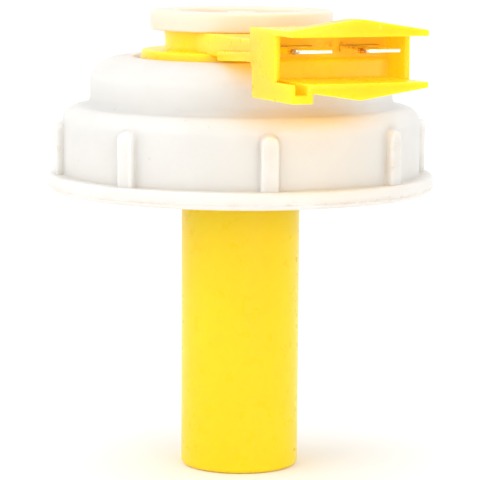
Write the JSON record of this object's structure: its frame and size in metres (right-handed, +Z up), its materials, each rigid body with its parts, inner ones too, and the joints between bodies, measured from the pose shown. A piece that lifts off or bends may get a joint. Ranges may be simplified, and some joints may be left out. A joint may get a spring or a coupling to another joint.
{
  "type": "reservoir cap with float level switch",
  "caption": "Screw cap for a fluid reservoir with a built-in low-level float switch, a side blade connector and a test button on top.",
  "frame": {"origin": "centre of the flat foot of the float tube, on the axis of the screw cap", "axes": "+Z up along the cap's axis, -Y towards the mouth of the connector"},
  "size_m": [0.06, 0.0733, 0.0718],
  "materials": {
    "cap_plastic": "satin moulded polyethylene",
    "yellow_plastic": "semi-gloss moulded plastic",
    "cover_elastomer": "satin translucent elastomer",
    "natural_plastic": "unpigmented moulded nylon",
    "black_rubber": "moulded rubber",
    "float_foam": "closed-cell foam",
    "tinned_brass": "bright tin plate",
    "spring_steel": "plain spring steel",
    "contact_brass": "plain brass"
  },
  "bodies": {
    "cap": {"screw_cap": "cap_plastic", "sealing_gasket": "black_rubber"},
    "switch_body": {"switch_housing": "yellow_plastic", "float_tube": "yellow_plastic", "top_cover": "cover_elastomer", "button_spring": "spring_steel", "contact_carrier": "natural_plastic", "terminal_left": "tinned_brass", "terminal_right": "tinned_brass", "stem_seal_ring": "black_rubber", "slip_washer": "natural_plastic", "snap_ring": "spring_steel", "rod_guide_bush": "natural_plastic"},
    "float_group": {"float_rod": "natural_plastic", "float": "float_foam", "float_clip_lower": "spring_steel", "float_clip_upper": "spring_steel", "contact_disc": "contact_brass", "disc_clip_lower": "spring_steel", "disc_clip_upper": "spring_steel"},
    "button": {"test_button": "cover_elastomer"}
  },
  "joints": [
    {"name": "housing_swivel", "type": "hinge", "parent": "cap", "child": "switch_body", "pos_m": [0, 0, 0.0636], "axis": [0, 0, 1], "continuous": true},
    {"name": "float_rise", "type": "slide", "parent": "switch_body", "child": "float_group", "axis": [0, 0, 1], "range_m": [0, 0.004]},
    {"name": "test_press", "type": "slide", "parent": "switch_body", "child": "button", "axis": [0, 0, -1], "range_m": [0, 0.0015], "stiffness_N_per_m": 600, "deforming": ["button_spring"]}
  ]
}
